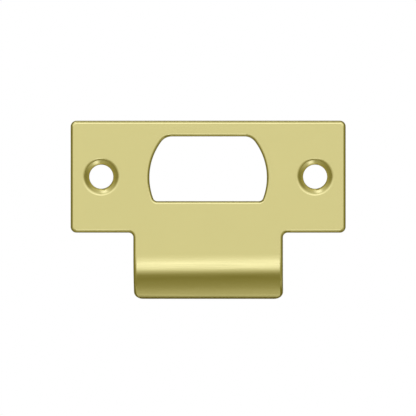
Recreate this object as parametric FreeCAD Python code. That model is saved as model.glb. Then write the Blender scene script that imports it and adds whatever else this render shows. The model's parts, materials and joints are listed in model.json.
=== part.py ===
import FreeCAD, Part
import math
import os

# Door strike plate: one piece of brass sheet, cut to a T, pierced, rolled at its lip and countersunk.
# Lengths are millimetres and angles are degrees.
# +X runs along the plate, +Z points from the lip to the plain edge, and -Y is the polished face.
# The origin lies midway between the screw holes, on the back face that seats against the door frame.

# Plate
plate_length = 69.85
plate_height = 28.45
sheet_thickness = 1.6
plate_corner_radius = 1.5

# Lip, measured down from the line through the screw holes
tab_width = 38.0
tab_root_radius = 1.2
roll_start = 19.25
roll_radius = 15.875
lip_reach = 31.1
lip_corner_radius = 2.3

# Latch opening, measured up and down from the line through the screw holes
opening_width = 29.8
opening_top = 10.2
opening_bottom = 6.2
opening_side_radius = 15.2
opening_side_drop = 0.2
opening_top_radius = 3.3
opening_bottom_radius = 1.1

# Screw holes
screw_spacing = 54.3
screw_hole_diameter = 6.1
sink_diameter = 8.9
sink_angle = 100.0
sink_rim_radius = 1.2
hole_rim_radius = 0.25

# Edges
face_edge_radius = 0.85
opening_edge_radius = 0.75
back_edge_radius = 0.1
edge_share_of_sheet = 0.6

# How far a cutting shape runs past the surface that it cuts, and how closely positions are compared
overrun = 1.0
match = 0.001

# The sheet lies between the back face at y = 0 and the polished face in front of it
front = -sheet_thickness
face_round = min(face_edge_radius, edge_share_of_sheet * sheet_thickness)
opening_round = min(opening_edge_radius, edge_share_of_sheet * sheet_thickness)


def point(x, y, z):
    return FreeCAD.Vector(x, y, z)


def line(start, end):
    return Part.LineSegment(start, end).toShape()


def arc(start, middle, end):
    return Part.Arc(start, middle, end).toShape()


def corner_arc(before, corner, after, radius):
    """Start, middle and end of the arc that rounds a corner; a radius of 0 leaves it sharp."""
    back = (before - corner).normalize()
    ahead = (after - corner).normalize()
    half_angle = back.getAngle(ahead) / 2
    setback = radius / math.tan(half_angle)
    depth = radius / math.sin(half_angle) - radius
    bisector = (back + ahead).normalize()
    return corner + back * setback, corner + bisector * depth, corner + ahead * setback


def outline_wire(corners):
    """Closed wire at y = 0 through (x, z, radius) corners."""
    points = [point(x, 0, z) for x, z, radius in corners]
    count = len(corners)
    rounds = []
    for index in range(count):
        before = points[index - 1]
        after = points[(index + 1) % count]
        rounds.append(corner_arc(before, points[index], after, corners[index][2]))
    edges = []
    for index, (start, middle, end) in enumerate(rounds):
        if corners[index][2] > 0:
            edges.append(arc(start, middle, end))
        edges.append(line(end, rounds[(index + 1) % count][0]))
    return Part.Wire(edges)


def flat_tee():
    """The flat of the sheet: the plate, and the tab below it down to where the roll starts."""
    half_length = plate_length / 2
    half_height = plate_height / 2
    half_tab = tab_width / 2
    right_side = [
        (half_tab, -roll_start, 0),
        (half_tab, -half_height, tab_root_radius),
        (half_length, -half_height, plate_corner_radius),
        (half_length, half_height, plate_corner_radius),
    ]
    left_side = [(-x, z, radius) for x, z, radius in reversed(right_side)]
    face = Part.Face(outline_wire(right_side + left_side))
    return face.extrude(point(0, front, 0))


def roll_angle():
    """How far the lip turns, in radians, so that its rounded edge ends at lip_reach."""
    drop = lip_reach - roll_start
    edge_centre = math.asin((drop - face_round) / (roll_radius - face_round))
    return edge_centre + math.asin(face_round / (roll_radius - face_round))


def rolled_lip():
    """The curved part of the tab, bent back about an axis behind the sheet."""
    centre = point(-tab_width / 2, front + roll_radius, -roll_start)
    turn = roll_angle()

    def on_roll(radius, angle):
        return centre + point(0, -radius * math.cos(angle), -radius * math.sin(angle))

    inner_radius = roll_radius - sheet_thickness
    outer = [on_roll(roll_radius, share * turn) for share in (0, 0.5, 1)]
    inner = [on_roll(inner_radius, share * turn) for share in (1, 0.5, 0)]
    section = Part.Wire([arc(*outer), line(outer[2], inner[0]), arc(*inner), line(inner[2], outer[0])])
    lip = Part.Face(section).extrude(point(tab_width, 0, 0))
    tip = (outer[2] + inner[0]) / 2
    corners = []
    for edge in lip.Edges:
        middle = edge.CenterOfMass
        if abs(middle.y - tip.y) < match and abs(middle.z - tip.z) < match:
            if edge.Length < sheet_thickness + match:
                corners.append(edge)
    return lip.makeFillet(lip_corner_radius, corners)


def latch_opening():
    """The hole for the latch: two bulged sides between a straight top and a straight bottom."""
    depth = sheet_thickness + 2 * overrun
    height = opening_top + opening_bottom
    shift = opening_side_radius - opening_width / 2
    start = point(-opening_width, front - overrun, -opening_bottom)
    opening = Part.makeBox(2 * opening_width, depth, height, start)
    for side in (-1, 1):
        centre = point(side * shift, front - overrun, -opening_side_drop)
        round_side = Part.makeCylinder(opening_side_radius, depth, centre, point(0, 1, 0))
        opening = opening.common(round_side)
    opening = round_corners(opening, opening_top, opening_top_radius)
    return round_corners(opening, -opening_bottom, opening_bottom_radius)


def round_corners(solid, height, radius):
    """Round the corners that run from front to back at one height."""
    corners = []
    for edge in solid.Edges:
        box = edge.BoundBox
        if box.XLength < match and box.ZLength < match and abs(box.ZMin - height) < match:
            corners.append(edge)
    return solid.makeFillet(radius, corners)


def face_rims(sheet, side):
    """Edges where the sheet's polished side (-1) or its back (1) meets its cut edges."""
    roll = roll_radius if side < 0 else roll_radius - sheet_thickness
    level = front if side < 0 else 0
    rims = {}
    for face in sheet.Faces:
        surface = face.Surface
        flat = isinstance(surface, Part.Plane) and abs(face.BoundBox.YMin - level) < match
        flat = flat and face.BoundBox.YLength < match
        rolled = isinstance(surface, Part.Cylinder) and abs(surface.Radius - roll) < match
        rolled = rolled and abs(surface.Axis.x) > 1 - match
        if flat or rolled:
            for edge in face.Edges:
                code = edge.hashCode()
                if code in rims:
                    del rims[code]
                else:
                    rims[code] = edge
    return list(rims.values())


def is_opening_edge(edge):
    """True for an edge on the rim of the latch opening."""
    box = edge.BoundBox
    inside = abs(box.XMin) < opening_width / 2 + match and abs(box.XMax) < opening_width / 2 + match
    return inside and box.ZMax < opening_top + match and box.ZMin > -opening_bottom - match


def round_face_edges(sheet):
    """Soften the polished side's outline and opening, and take the sharpness off the back."""
    outline = [edge for edge in face_rims(sheet, -1) if not is_opening_edge(edge)]
    sheet = sheet.makeFillet(face_round, outline)
    opening = [edge for edge in face_rims(sheet, -1) if is_opening_edge(edge)]
    sheet = sheet.makeFillet(opening_round, opening)
    return sheet.makeFillet(back_edge_radius, face_rims(sheet, 1))


def countersink(side):
    """Cutter for one screw hole: a rounded rim, a cone, a rounded throat and a straight hole."""
    half_angle = math.radians(sink_angle / 2)
    hole_radius = screw_hole_diameter / 2
    sink_radius = sink_diameter / 2
    cone_depth = (sink_radius - hole_radius) / math.tan(half_angle)
    bottom = sheet_thickness + cone_depth + overrun
    outside = point(sink_radius + 2 * sink_rim_radius, 0, 0)
    rim = point(sink_radius, 0, 0)
    throat = point(hole_radius, cone_depth, 0)
    end = point(hole_radius, bottom, 0)
    rim_start, rim_middle, rim_end = corner_arc(outside, rim, throat, sink_rim_radius)
    throat_start, throat_middle, throat_end = corner_arc(rim, throat, end, hole_rim_radius)
    above = point(rim_start.x, -overrun, 0)
    wire = Part.Wire([
        line(point(0, -overrun, 0), above),
        line(above, rim_start),
        arc(rim_start, rim_middle, rim_end),
        line(rim_end, throat_start),
        arc(throat_start, throat_middle, throat_end),
        line(throat_end, end),
        line(end, point(0, bottom, 0)),
        line(point(0, bottom, 0), point(0, -overrun, 0)),
    ])
    cutter = Part.Face(wire).revolve(point(0, 0, 0), point(0, 1, 0), 360)
    return cutter.translate(point(side * screw_spacing / 2, front, 0))


def strike_plate():
    sheet = flat_tee().fuse(rolled_lip()).removeSplitter()
    sheet = round_face_edges(sheet.cut(latch_opening()))
    for side in (-1, 1):
        sheet = sheet.cut(countersink(side))
    return sheet


os.makedirs("parts", exist_ok=True)
solid = strike_plate()
solid.exportStep("parts/strike_plate.step")
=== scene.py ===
import json
import math

import bpy
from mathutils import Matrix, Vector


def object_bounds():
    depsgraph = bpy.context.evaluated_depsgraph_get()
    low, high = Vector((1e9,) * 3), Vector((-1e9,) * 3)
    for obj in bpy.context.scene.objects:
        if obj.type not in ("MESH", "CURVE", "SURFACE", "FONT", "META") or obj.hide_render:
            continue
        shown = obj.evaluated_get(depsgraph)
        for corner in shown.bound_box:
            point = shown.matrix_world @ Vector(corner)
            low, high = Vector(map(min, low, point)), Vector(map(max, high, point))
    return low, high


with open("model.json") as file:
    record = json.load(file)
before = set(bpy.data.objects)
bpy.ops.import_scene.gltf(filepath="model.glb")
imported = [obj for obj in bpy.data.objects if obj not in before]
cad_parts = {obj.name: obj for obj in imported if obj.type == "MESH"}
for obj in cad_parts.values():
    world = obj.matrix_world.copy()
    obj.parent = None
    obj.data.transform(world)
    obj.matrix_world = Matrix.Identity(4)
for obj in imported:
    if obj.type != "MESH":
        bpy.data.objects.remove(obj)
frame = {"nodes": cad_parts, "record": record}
cad_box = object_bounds()

# Lengths are metres unless a name says mm, and angles are degrees
MM_PER_METRE = 1000
PLATE = "strike_plate"

# Each screw hole's distance from the middle
SCREW_HOLES = next(mount for mount in frame["record"]["mounts"] if mount["name"] == "screw_holes")
HOLE_OFFSET = SCREW_HOLES["dims"]["spacing_x_mm"] / 2 / MM_PER_METRE

# Camera: level, a little to the right of square to the plate, and far off for almost no perspective
PIXELS = 416
MM_PER_PIXEL = 0.25365
CAMERA_DISTANCE = 1.5
CAMERA_TURN = 1.5
CAMERA_HEIGHT = -0.00795
SENSOR_WIDTH = 36.0

# Brass, as a white surround shows it
BRASS_COLOUR = (0.65, 0.59, 0.25)
POLISHED_ROUGHNESS = (0.11, 0.19)

# Noise mostly lies between these, and has this much fine detail in marks and in patches
MIDDLE = (0.3, 0.7)
MARK_DETAIL = 2.0
PATCH_DETAIL = 3.0

# Faint clouding of the brass: a darker and a lighter shade of its colour, in patches of this size
CLOUD_SHADES = (0.985, 1.012)
CLOUD_SIZE = 0.012

# Satin grain on the polished side: fine lines, by their size along X, Y and Z, and their depth
GRAIN_SIZE = (0.0120, 0.0004, 0.00012)
GRAIN_DEPTH = 0.0000006

# Cut edges: left as sheared and duller, with marks through the sheet, and darkened as painted shade along the
# outline.
# A surface counts as cut where its normal leans further than this from the plate's front and back.
CUT_LEAN = (56, 72)
CUT_EDGE_PAINTED_SHADES = (0.45, 0.56)
CUT_ROUGHNESS = (0.24, 0.38)
SHEAR_MARK_SIZE = (0.00016, 0.0025, 0.00016)
SHEAR_MARK_DEPTH = 0.000008

# The back: flat as rolled, not polished, with faint patches and fine lines along the sheet.
# A surface turns from front to back as the Y part of its normal rises from the first of these
# to the second.
BACK_NORMAL = (0.2, 0.6)
BACK_SHADES = (0.82, 0.89)
BACK_PATCH_SIZE = (0.0140, 0.0100, 0.0060)
BACK_ROUGHNESS = (0.25, 0.36)
BACK_MARK_SIZE = (0.0300, 0.0010, 0.00016)
BACK_MARK_DEPTH = 0.0000009

# Countersinks: cut after polishing, a little duller, with fine rings.
# Their finish ends this far from a hole's middle.
SINK_REACH = (0.0045, 0.0050)
SINK_ROUGHNESS = (0.20, 0.27)
SINK_RING_SIZE = (0.00016, 0.00016, 0.01)
SINK_RING_DEPTH = 0.0000014

# Soft light: the surround's strength on matt surfaces, and a lamp overhead that gives the soft shadow
SURROUND_ON_MATT = 0.80
LAMP_HEIGHT = 0.60
LAMP_SIZE = 0.35
LAMP_POWER = 1.2

# Floor, which turns into the white background away from the plate
FLOOR_DROP = 0.040
FLOOR_RADIUS = 3.0
FLOOR_SIDES = 96
FLOOR_COLOUR = (0.84, 0.84, 0.83)
FLOOR_FADE = (0.10, 0.24)

# Shading: corners of the mesh nearer than this count as one, and edges sharper than this stay crisp
SAME_CORNER = 0.000001
CRISP_EDGE = 50

# Studio cards, which only the metal's reflections see. An angle is measured from the camera's direction,
# a bearing runs round that direction, with 0 to the right and 90 above, and a brightness of 1 is the white
# background. Round cards have their corners this many degrees apart.
CARD_DISTANCE = 10.0
CARD_STEP = 6

# Strips straight below, above and beside the camera, which the curved lip and the straight edges mirror,
# each with its bearing and half its width as a share of its distance
STRIP_NEARER = 0.95
STRIP_BELOW = (
    (3, 1.0), (9, 1.13), (14, 1.35), (19.5, 1.68), (25, 1.60), (29.5, 1.46), (32, 1.15), (35, 0.79),
    (38.5, 0.52), (42, 0.33), (47, 0.27), (52, 0.31), (60, 0.37), (70, 0.43), (78, 0.55), (85, 0.67),
    (88.5, 0.80), (90.5, 0.70), (92, 0.12), (128, 0.14), (140, 1.0),
)
STRIP_ABOVE = (
    (4, 1.0), (9, 1.42), (16, 1.80), (28, 1.74), (36, 1.25), (44, 0.88), (52, 0.64), (78, 0.62),
)
STRIP_BESIDE = (
    (20, 1.0), (28, 0.92), (35, 0.70), (45, 0.46), (55, 0.36), (70, 0.32),
)
STRIPS = {
    "strip_below": (270, 0.09, STRIP_BELOW),
    "strip_above": (90, 0.08, STRIP_ABOVE),
    "strip_right": (0, 0.08, STRIP_BESIDE),
    "strip_left": (180, 0.08, STRIP_BESIDE),
}

# The dome round the camera, by angle: its brightness beside, above and below
DOME = (
    (6, 1.0, 1.0, 1.0), (13, 1.0, 1.38, 0.80), (24, 0.97, 1.55, 0.50), (34, 0.92, 1.45, 0.44),
    (44, 0.76, 1.25, 0.40), (54, 0.50, 1.10, 0.34), (62, 0.28, 0.95, 0.24), (68, 0.24, 0.90, 0.20),
)

# The ring that the countersinks mirror, with a bright window above and below: the angles that it spans,
# and its brightness by bearing
WINDOW_SPAN = (68, 88)
WINDOW = (
    (0, 0.28), (30, 0.30), (45, 0.40), (60, 0.63), (76, 0.70), (84, 0.85), (91, 1.60), (110, 1.95),
    (120, 0.84), (135, 0.60), (150, 0.50), (165, 0.30), (225, 0.34), (245, 0.46), (262, 0.56), (274, 0.80),
    (280, 1.75), (292, 1.75), (300, 0.84), (315, 0.62), (330, 0.43), (345, 0.31), (360, 0.28),
)

# The dark ring beside and behind the plate, by angle
REAR = ((88, 0.18), (125, 0.18), (140, 1.0))

# Small dark cards close to the plate. Each keeps one of the ring's bright windows out of a rounded corner
# that would mirror it: at the right of the lip, the plate, the tab and the latch opening's bottom, and at the
# left of the opening's top. Each lies level, and is given by where it starts and ends along X, the same
# along Y, and its height.
FLAG_LEVEL = 0.25
FLAGS = {
    "lip_flag": ((0.0186, 0.0212), (-0.0014, 0.0024), -0.0321),
    "plate_flag": ((0.0333, 0.0350), (-0.0019, -0.0011), -0.0145),
    "tab_flag": ((0.0195, 0.0209), (-0.0019, -0.0011), -0.0145),
    "opening_low_flag": ((0.0129, 0.0140), (-0.0019, -0.0011), -0.0059),
    "opening_top_flag": ((-0.0110, -0.0095), (-0.0019, -0.0011), 0.0099),
}


def to_display(level):
    """A linear brightness as the picture's own 0 to 1 scale."""
    if level < 0.0031308:
        return 12.92 * level
    return 1.055 * level ** (1 / 2.4) - 0.055


def to_linear(level):
    """The reverse of to_display."""
    if level < 0.04045:
        return max(level, 0) / 12.92
    return ((level + 0.055) / 1.055) ** 2.4


def add_camera():
    """A long lens whose frame shows the plate at the photograph's scale."""
    data = bpy.data.cameras.new("camera")
    data.sensor_width = SENSOR_WIDTH
    frame_width = PIXELS * MM_PER_PIXEL / MM_PER_METRE
    data.lens = SENSOR_WIDTH * CAMERA_DISTANCE / frame_width
    camera = bpy.data.objects.new("camera", data)
    turn = math.radians(CAMERA_TURN)
    aside = CAMERA_DISTANCE * math.sin(turn)
    ahead = cad_box[0].y - CAMERA_DISTANCE * math.cos(turn)
    camera.location = (aside, ahead, CAMERA_HEIGHT)
    camera.rotation_euler = (math.radians(90), 0, turn)
    bpy.context.scene.collection.objects.link(camera)
    bpy.context.scene.camera = camera


class Tree:
    """Builds a node tree. Each call adds nodes and returns one output, or the node where output is None."""

    def __init__(self, tree):
        self.tree = tree
        self.tree.nodes.clear()

    def add(self, kind, inputs=(), output=0, **settings):
        node = self.tree.nodes.new(kind)
        for name, value in settings.items():
            setattr(node, name, value)
        for name, value in dict(inputs).items():
            if isinstance(value, bpy.types.NodeSocket):
                self.tree.links.new(value, node.inputs[name])
            else:
                node.inputs[name].default_value = value
        return node if output is None else node.outputs[output]

    def math(self, operation, first, second=0.0, clamp=False):
        inputs = {0: first, 1: second}
        return self.add("ShaderNodeMath", inputs, operation=operation, use_clamp=clamp)

    def between(self, value, low, high, start=0.0, end=1.0):
        """Start below low, end above high, and a smooth change between."""
        inputs = {"Value": value, "From Min": low, "From Max": high, "To Min": start, "To Max": end}
        return self.add("ShaderNodeMapRange", inputs, interpolation_type="SMOOTHSTEP")

    def mix(self, share, first, second):
        return self.add("ShaderNodeMix", {0: share, 6: first, 7: second}, output=2, data_type="RGBA")

    def mix_values(self, share, first, second):
        return self.add("ShaderNodeMix", {0: share, 2: first, 3: second})

    def noise(self, place, size, detail=MARK_DETAIL):
        """Noise whose patches measure size, a length or one length along each axis."""
        if isinstance(size, tuple):
            stretch = tuple(1 / length for length in size)
            place = self.add("ShaderNodeMapping", {"Vector": place, "Scale": stretch})
            size = 1.0
        return self.add("ShaderNodeTexNoise", {"Vector": place, "Scale": 1 / size, "Detail": detail})

    def seen(self):
        """1 for the rays that show the background: the camera's, and those off or through a surface."""
        rays = self.add("ShaderNodeLightPath", output=None).outputs
        total = self.math("ADD", rays["Is Camera Ray"], rays["Is Glossy Ray"])
        return self.math("ADD", total, rays["Is Transmission Ray"], clamp=True)


def new_material(name):
    material = bpy.data.materials.new(name)
    material.use_nodes = True
    return material, Tree(material.node_tree)


def add_world():
    """A plain white surround, a little softer where it lights matt surfaces."""
    world = bpy.data.worlds.new("studio")
    bpy.context.scene.world = world
    world.use_nodes = True
    tree = Tree(world.node_tree)
    soft = tree.add("ShaderNodeBackground", {"Color": (1, 1, 1, 1), "Strength": SURROUND_ON_MATT})
    white = tree.add("ShaderNodeBackground", {"Color": (1, 1, 1, 1), "Strength": 1.0})
    mixed = tree.add("ShaderNodeMixShader", {0: tree.seen(), 1: soft, 2: white})
    tree.add("ShaderNodeOutputWorld", {"Surface": mixed}, output=None)


def add_lamp():
    """A soft lamp overhead, which shows in no reflection."""
    data = bpy.data.lights.new("overhead", "AREA")
    data.size = LAMP_SIZE
    data.energy = LAMP_POWER
    lamp = bpy.data.objects.new("overhead", data)
    lamp.location = (0, 0, LAMP_HEIGHT)
    lamp.visible_glossy = False
    bpy.context.scene.collection.objects.link(lamp)


def add_floor():
    """A pale disc below the plate, which fades into the white background. Reflections don't see it."""
    height = cad_box[0].z - FLOOR_DROP
    corners = []
    for index in range(FLOOR_SIDES):
        angle = 2 * math.pi * index / FLOOR_SIDES
        corners.append((FLOOR_RADIUS * math.cos(angle), FLOOR_RADIUS * math.sin(angle), height))
    mesh = bpy.data.meshes.new("floor")
    mesh.from_pydata(corners, [], [list(range(FLOOR_SIDES))])
    material, tree = new_material("floor")
    place = tree.add("ShaderNodeTexCoord", output="Object")
    flat = tree.add("ShaderNodeVectorMath", {0: place, 1: (1, 1, 0)}, operation="MULTIPLY")
    away = tree.add("ShaderNodeVectorMath", {0: flat}, operation="LENGTH", output="Value")
    far = tree.between(away, *FLOOR_FADE)
    fade = tree.math("MULTIPLY", far, tree.seen())
    matt = tree.add("ShaderNodeBsdfDiffuse", {"Color": (*FLOOR_COLOUR, 1)})
    white = tree.add("ShaderNodeEmission", {"Color": (1, 1, 1, 1), "Strength": 1.0})
    mixed = tree.add("ShaderNodeMixShader", {0: fade, 1: matt, 2: white})
    tree.add("ShaderNodeOutputMaterial", {"Surface": mixed}, output=None)
    mesh.materials.append(material)
    floor = bpy.data.objects.new("floor", mesh)
    bpy.context.scene.collection.objects.link(floor)
    floor.visible_glossy = False


def card_colour(level):
    """A card's colour by its brightness, at which the lacquered brass darkens warm and brightens pale."""
    green = BRASS_COLOUR[1]
    shift = to_display(level * green) - to_display(green)
    colour = [to_linear(to_display(part) + shift) / part for part in BRASS_COLOUR]
    return [*colour, 1]


def card_material():
    """Light of the colour that each corner of a card carries."""
    material, tree = new_material("card")
    colour = tree.add("ShaderNodeAttribute", attribute_name="level", output="Color")
    light = tree.add("ShaderNodeEmission", {"Color": colour})
    tree.add("ShaderNodeOutputMaterial", {"Surface": light}, output=None)
    return material


def add_card(name, rows, material):
    """A card from rows of corners, each a place and a brightness."""
    width = len(rows[0])
    corners = [place for row in rows for place, level in row]
    colours = [part for row in rows for place, level in row for part in card_colour(level)]
    faces = []
    for row in range(len(rows) - 1):
        for column in range(width - 1):
            first = row * width + column
            faces.append((first, first + 1, first + 1 + width, first + width))
    mesh = bpy.data.meshes.new(name)
    mesh.from_pydata(corners, [], faces)
    attribute = mesh.attributes.new("level", "FLOAT_COLOR", "POINT")
    attribute.data.foreach_set("color", colours)
    mesh.materials.append(material)
    card = bpy.data.objects.new(name, mesh)
    bpy.context.scene.collection.objects.link(card)
    card.visible_camera = False
    card.visible_diffuse = False
    card.visible_shadow = False


def round_camera(angle, bearing, nearer=1.0, aside=0.0):
    """A place at an angle from the camera's direction and a bearing round it, moved aside by a share."""
    reach = nearer * CARD_DISTANCE
    off = math.radians(angle)
    turn = math.radians(bearing)
    ring = reach * math.sin(off)
    side = reach * aside
    x = ring * math.cos(turn) - side * math.sin(turn)
    z = ring * math.sin(turn) + side * math.cos(turn)
    return x, -reach * math.cos(off), z


def fine_stops(stops):
    """The same stops with more of them between, so that a ring stays round."""
    fine = []
    for (start, first), (end, last) in zip(stops, stops[1:]):
        steps = math.ceil((end - start) / CARD_STEP)
        for index in range(steps):
            share = index / steps
            fine.append((start + share * (end - start), first + share * (last - first)))
    return fine + [stops[-1]]


def add_cards():
    """The strips, the dome, the countersinks' ring, the dark ring behind and the small dark cards."""
    material = card_material()
    for name, (bearing, half_width, stops) in STRIPS.items():
        rows = []
        for angle, level in stops:
            sides = (-half_width, half_width)
            rows.append([(round_camera(angle, bearing, STRIP_NEARER, side), level) for side in sides])
        add_card(name, rows, material)
    bearings = range(0, 360 + CARD_STEP, CARD_STEP)
    dome = []
    for bearing in bearings:
        rise = math.sin(math.radians(bearing))
        row = []
        for angle, beside, above, below in DOME:
            end = above if rise > 0 else below
            row.append((round_camera(angle, bearing), beside + abs(rise) * (end - beside)))
        dome.append(row)
    window = []
    for bearing, level in fine_stops(WINDOW):
        window.append([(round_camera(angle, bearing), level) for angle in WINDOW_SPAN])
    rear = [[(round_camera(angle, bearing), level) for angle, level in REAR] for bearing in bearings]
    add_card("dome", dome, material)
    add_card("window_ring", window, material)
    add_card("rear_ring", rear, material)
    for name, (across, deep, height) in FLAGS.items():
        add_card(name, [[((x, y, height), FLAG_LEVEL) for y in deep] for x in across], material)


def brass_shades(shades):
    """The brass's colour at each of these brightnesses."""
    return [(*[shade * part for part in BRASS_COLOUR], 1) for shade in shades]


def countersinks(tree, place):
    """Noise in fine rings round the nearer screw hole, and 1 within that hole's countersink."""
    parts = tree.add("ShaderNodeSeparateXYZ", {0: place}, output=None).outputs
    along = tree.math("SUBTRACT", tree.math("ABSOLUTE", parts["X"]), HOLE_OFFSET)
    flat = tree.add("ShaderNodeCombineXYZ", {"X": along, "Z": parts["Z"]})
    away = tree.add("ShaderNodeVectorMath", {0: flat}, operation="LENGTH", output="Value")
    rings = tree.noise(tree.add("ShaderNodeCombineXYZ", {"X": away, "Y": parts["Y"]}), SINK_RING_SIZE)
    return rings, tree.between(away, *SINK_REACH, 1.0, 0.0)


def brass():
    """Lacquered brass: satin-polished in front, left as rolled behind, and sheared on its cut edges, darkened
    there as painted shade.
    """
    material, tree = new_material("brass")
    place = tree.add("ShaderNodeTexCoord", output="Object")
    normal = tree.add("ShaderNodeTexCoord", output="Normal")
    lean = tree.add("ShaderNodeSeparateXYZ", {0: normal}, output="Y")
    upright = tree.math("ABSOLUTE", lean)
    near, far = [math.cos(math.radians(angle)) for angle in CUT_LEAN]
    # The cut edges, which also carry the painted shade that darkens the plate's outline and the outer part of
    # its rounded edges
    cut_and_outline_shade = tree.between(upright, far, near, 1.0, 0.0)
    back = tree.between(lean, *BACK_NORMAL)

    rings, sunk = countersinks(tree, place)
    cloud = tree.noise(place, CLOUD_SIZE, PATCH_DETAIL)
    grain = tree.noise(place, GRAIN_SIZE)
    back_patches = tree.noise(place, BACK_PATCH_SIZE, PATCH_DETAIL)
    back_marks = tree.noise(place, BACK_MARK_SIZE)
    shear_marks = tree.noise(place, SHEAR_MARK_SIZE, PATCH_DETAIL)

    back_colour = tree.mix(tree.between(back_patches, *MIDDLE), *brass_shades(BACK_SHADES))
    # Painted shade: the cut edges' darker colour draws the dark line round the plate's outline
    cut_painted_shade_colour = tree.mix(tree.between(shear_marks, *MIDDLE), *brass_shades(CUT_EDGE_PAINTED_SHADES))
    colour = tree.mix(cloud, *brass_shades(CLOUD_SHADES))
    colour = tree.mix(back, colour, back_colour)
    colour = tree.mix(cut_and_outline_shade, colour, cut_painted_shade_colour)

    roughness = tree.between(grain, *MIDDLE, *POLISHED_ROUGHNESS)
    roughness = tree.mix_values(sunk, roughness, tree.between(rings, *MIDDLE, *SINK_ROUGHNESS))
    roughness = tree.mix_values(back, roughness, tree.between(back_marks, *MIDDLE, *BACK_ROUGHNESS))
    roughness = tree.mix_values(cut_and_outline_shade, roughness, tree.between(shear_marks, *MIDDLE, *CUT_ROUGHNESS))

    depth = tree.math("MULTIPLY", grain, GRAIN_DEPTH)
    depth = tree.mix_values(sunk, depth, tree.math("MULTIPLY", rings, SINK_RING_DEPTH))
    depth = tree.mix_values(back, depth, tree.math("MULTIPLY", back_marks, BACK_MARK_DEPTH))
    depth = tree.mix_values(cut_and_outline_shade, depth, tree.math("MULTIPLY", shear_marks, SHEAR_MARK_DEPTH))
    relief = tree.add("ShaderNodeBump", {"Height": depth, "Distance": 1.0})

    inputs = {"Base Color": colour, "Metallic": 1.0, "Roughness": roughness, "Normal": relief}
    shader = tree.add("ShaderNodeBsdfPrincipled", inputs)
    tree.add("ShaderNodeOutputMaterial", {"Surface": shader}, output=None)
    return material


def smooth_edges(piece):
    """Make each rounded edge shade evenly into the faces beside it. The shape stays as it is."""
    joined = piece.modifiers.new("joined", "WELD")
    joined.merge_threshold = SAME_CORNER
    crisp = piece.modifiers.new("crisp", "EDGE_SPLIT")
    crisp.split_angle = math.radians(CRISP_EDGE)
    piece.modifiers.new("even", "WEIGHTED_NORMAL")


plate = frame["nodes"][PLATE]
smooth_edges(plate)
plate.data.materials.clear()
plate.data.materials.append(brass())

add_camera()
add_world()
add_lamp()
add_floor()
add_cards()
bpy.context.scene.view_settings.view_transform = "Standard"
